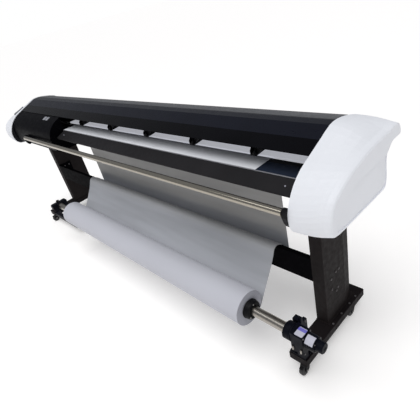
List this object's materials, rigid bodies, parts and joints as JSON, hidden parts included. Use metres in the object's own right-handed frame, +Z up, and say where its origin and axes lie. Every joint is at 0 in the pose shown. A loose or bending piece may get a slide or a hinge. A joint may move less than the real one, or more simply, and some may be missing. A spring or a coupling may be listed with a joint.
{
  "type": "printer cutter",
  "caption": "Wide roll-fed printer cutter on a two-leg castered stand, with white end caps, a dark hinged lid, a paper roll on a powered shaft and a web over the platen.",
  "frame": {"origin": "on the floor under the centre of the overall box", "axes": "+X to the machine's right seen by the operator, -Y towards the operator, +Z up"},
  "size_m": [3.236, 0.6644, 1.1238],
  "materials": {
    "white_abs": "satin white moulding",
    "leg_paint": "black powder coat",
    "beam_paint": "black powder coat",
    "frame_steel": "dark coated steel",
    "grey_cover": "satin grey",
    "rear_plastic": "textured dark grey",
    "gloss_black": "gloss black",
    "smoked": "smoked acrylic",
    "platen_dark": "dark anodised",
    "bright_alu": "brushed",
    "apron_paint": "satin black",
    "grit": "grit blasted",
    "black_plastic": "satin black",
    "rubber": "matt",
    "polished_steel": "polished",
    "stainless": "polished stainless",
    "paper_roll": "matt paper",
    "paper_web": "matt paper",
    "drive_housing": "dark enamel",
    "panel_grey": "satin grey",
    "button_blue": "satin blue",
    "caster_plastic": "satin black"
  },
  "bodies": {
    "machine": {"end_cap_left": "white_abs", "end_cap_right": "white_abs", "side_frame_left": "frame_steel", "side_frame_right": "frame_steel", "leg_left": "leg_paint", "leg_right": "leg_paint", "foot_left": "leg_paint", "foot_right": "leg_paint", "crossbeam": "beam_paint", "main_beam": "frame_steel", "table_beam": "frame_steel", "top_cover": "grey_cover", "rear_cover": "rear_plastic", "station_cover": "gloss_black", "platen": "platen_dark", "platen_trim": "bright_alu", "apron": "apron_paint", "back_strip": "bright_alu", "guide_rail": "bright_alu", "drive_belt": "rubber", "carriage_motor": "frame_steel", "front_rod": "polished_steel", "rod_bracket_left": "black_plastic", "rod_bracket_right": "black_plastic", "takeup_gearbox": "drive_housing", "takeup_motor": "drive_housing", "takeup_bracket": "drive_housing", "roll_support": "drive_housing", "media_web": "paper_web", "control_panel": "panel_grey", "power_inlet": "black_plastic"},
    "lid": {"lid_window": "smoked", "lid_front_rail": "gloss_black"},
    "carriage": {"carriage_body": "black_plastic", "print_heads": "black_plastic"},
    "cutter": {"cutter_holder": "stainless"},
    "pulley_left": {"belt_pulley_left": "stainless"},
    "pulley_right": {"belt_pulley_right": "stainless"},
    "feed_roller": {"feed_roller": "grit"},
    "pinch_lift": {"pinch_lift": "black_plastic"},
    "roll": {"roll_shaft": "stainless", "media_roll": "paper_roll", "core_plug_left": "black_plastic", "core_plug_right": "black_plastic", "drive_chuck": "drive_housing"},
    "rocker": {"power_switch": "gloss_black"},
    "button": {"panel_button": "button_blue"},
    "pinch_wheel_1": {"pinch_wheel_1": "rubber"},
    "pinch_wheel_2": {"pinch_wheel_2": "rubber"},
    "pinch_wheel_3": {"pinch_wheel_3": "rubber"},
    "pinch_wheel_4": {"pinch_wheel_4": "rubber"},
    "pinch_wheel_5": {"pinch_wheel_5": "rubber"},
    "fork_front_left": {"caster_fork_front_left": "caster_plastic"},
    "wheel_front_left": {"caster_wheel_front_left": "rubber"},
    "fork_front_right": {"caster_fork_front_right": "caster_plastic"},
    "wheel_front_right": {"caster_wheel_front_right": "rubber"},
    "fork_rear_left": {"caster_fork_rear_left": "caster_plastic"},
    "wheel_rear_left": {"caster_wheel_rear_left": "rubber"},
    "fork_rear_right": {"caster_fork_rear_right": "caster_plastic"},
    "wheel_rear_right": {"caster_wheel_rear_right": "rubber"}
  },
  "joints": [
    {"name": "lid_hinge", "type": "hinge", "parent": "machine", "child": "lid", "pos_m": [0, 0.15625, 1.1155], "axis": [-1, 0, 0], "range_deg": [0, 75]},
    {"name": "carriage_slide", "type": "slide", "parent": "machine", "child": "carriage", "axis": [1, 0, 0], "range_m": [0, 2.25]},
    {"name": "cutter_slide", "type": "slide", "parent": "carriage", "child": "cutter", "axis": [0, 0, -1], "range_m": [0, 0.003], "stiffness_N_per_m": 1500, "springref_m": -0.002},
    {"name": "pulley_left_spin", "type": "hinge", "parent": "machine", "child": "pulley_left", "pos_m": [-1.42, 0.19625, 1.025], "axis": [0, 0, 1], "continuous": true},
    {"name": "pulley_right_spin", "type": "hinge", "parent": "machine", "child": "pulley_right", "pos_m": [1.42, 0.19625, 1.025], "axis": [0, 0, 1], "continuous": true},
    {"name": "feed_roller_spin", "type": "hinge", "parent": "machine", "child": "feed_roller", "pos_m": [0, 0.05925, 0.948], "axis": [1, 0, 0], "continuous": true},
    {"name": "pinch_lift_hinge", "type": "hinge", "parent": "machine", "child": "pinch_lift", "pos_m": [0, 0.11825, 0.99], "axis": [-1, 0, 0], "range_deg": [0, 10]},
    {"name": "pinch_wheel_1_spin", "type": "hinge", "parent": "pinch_lift", "child": "pinch_wheel_1", "pos_m": [-0.53, 0.05925, 0.9798], "axis": [1, 0, 0], "continuous": true},
    {"name": "pinch_wheel_2_spin", "type": "hinge", "parent": "pinch_lift", "child": "pinch_wheel_2", "pos_m": [-0.115, 0.05925, 0.9798], "axis": [1, 0, 0], "continuous": true},
    {"name": "pinch_wheel_3_spin", "type": "hinge", "parent": "pinch_lift", "child": "pinch_wheel_3", "pos_m": [0.3, 0.05925, 0.9798], "axis": [1, 0, 0], "continuous": true},
    {"name": "pinch_wheel_4_spin", "type": "hinge", "parent": "pinch_lift", "child": "pinch_wheel_4", "pos_m": [0.71, 0.05925, 0.9798], "axis": [1, 0, 0], "continuous": true},
    {"name": "pinch_wheel_5_spin", "type": "hinge", "parent": "pinch_lift", "child": "pinch_wheel_5", "pos_m": [1.115, 0.05925, 0.9798], "axis": [1, 0, 0], "continuous": true},
    {"name": "roll_spin", "type": "hinge", "parent": "machine", "child": "roll", "pos_m": [0, -0.24475, 0.347], "axis": [1, 0, 0], "continuous": true},
    {"name": "fork_front_left_swivel", "type": "hinge", "parent": "machine", "child": "fork_front_left", "pos_m": [-1.43, -0.17775, 0.1], "axis": [0, 0, 1], "continuous": true},
    {"name": "wheel_front_left_spin", "type": "hinge", "parent": "fork_front_left", "child": "wheel_front_left", "pos_m": [-1.43, -0.19575, 0.031], "axis": [1, 0, 0], "continuous": true},
    {"name": "fork_front_right_swivel", "type": "hinge", "parent": "machine", "child": "fork_front_right", "pos_m": [1.43, -0.17775, 0.1], "axis": [0, 0, 1], "continuous": true},
    {"name": "wheel_front_right_spin", "type": "hinge", "parent": "fork_front_right", "child": "wheel_front_right", "pos_m": [1.43, -0.19575, 0.031], "axis": [1, 0, 0], "continuous": true},
    {"name": "fork_rear_left_swivel", "type": "hinge", "parent": "machine", "child": "fork_rear_left", "pos_m": [-1.43, 0.25425, 0.1], "axis": [0, 0, 1], "continuous": true},
    {"name": "wheel_rear_left_spin", "type": "hinge", "parent": "fork_rear_left", "child": "wheel_rear_left", "pos_m": [-1.43, 0.23625, 0.031], "axis": [1, 0, 0], "continuous": true},
    {"name": "fork_rear_right_swivel", "type": "hinge", "parent": "machine", "child": "fork_rear_right", "pos_m": [1.43, 0.25425, 0.1], "axis": [0, 0, 1], "continuous": true},
    {"name": "wheel_rear_right_spin", "type": "hinge", "parent": "fork_rear_right", "child": "wheel_rear_right", "pos_m": [1.43, 0.23625, 0.031], "axis": [1, 0, 0], "continuous": true},
    {"name": "rocker_tilt", "type": "hinge", "parent": "machine", "child": "rocker", "pos_m": [1.315, 0.22825, 0.9265], "axis": [1, 0, 0], "range_deg": [0, 12]},
    {"name": "button_press", "type": "slide", "parent": "machine", "child": "button", "axis": [0, 0, -1], "range_m": [0, 0.0015], "stiffness_N_per_m": 300, "springref_m": -0.001}
  ],
  "couplings": [
    {"joint": "pulley_left_spin", "follows": "carriage_slide", "rad_per_m": 95.238},
    {"joint": "pulley_right_spin", "follows": "carriage_slide", "rad_per_m": 95.238},
    {"joint": "pinch_wheel_1_spin", "follows": "feed_roller_spin", "ratio": -1.7727},
    {"joint": "pinch_wheel_2_spin", "follows": "feed_roller_spin", "ratio": -1.7727},
    {"joint": "pinch_wheel_3_spin", "follows": "feed_roller_spin", "ratio": -1.7727},
    {"joint": "pinch_wheel_4_spin", "follows": "feed_roller_spin", "ratio": -1.7727},
    {"joint": "pinch_wheel_5_spin", "follows": "feed_roller_spin", "ratio": -1.7727}
  ]
}
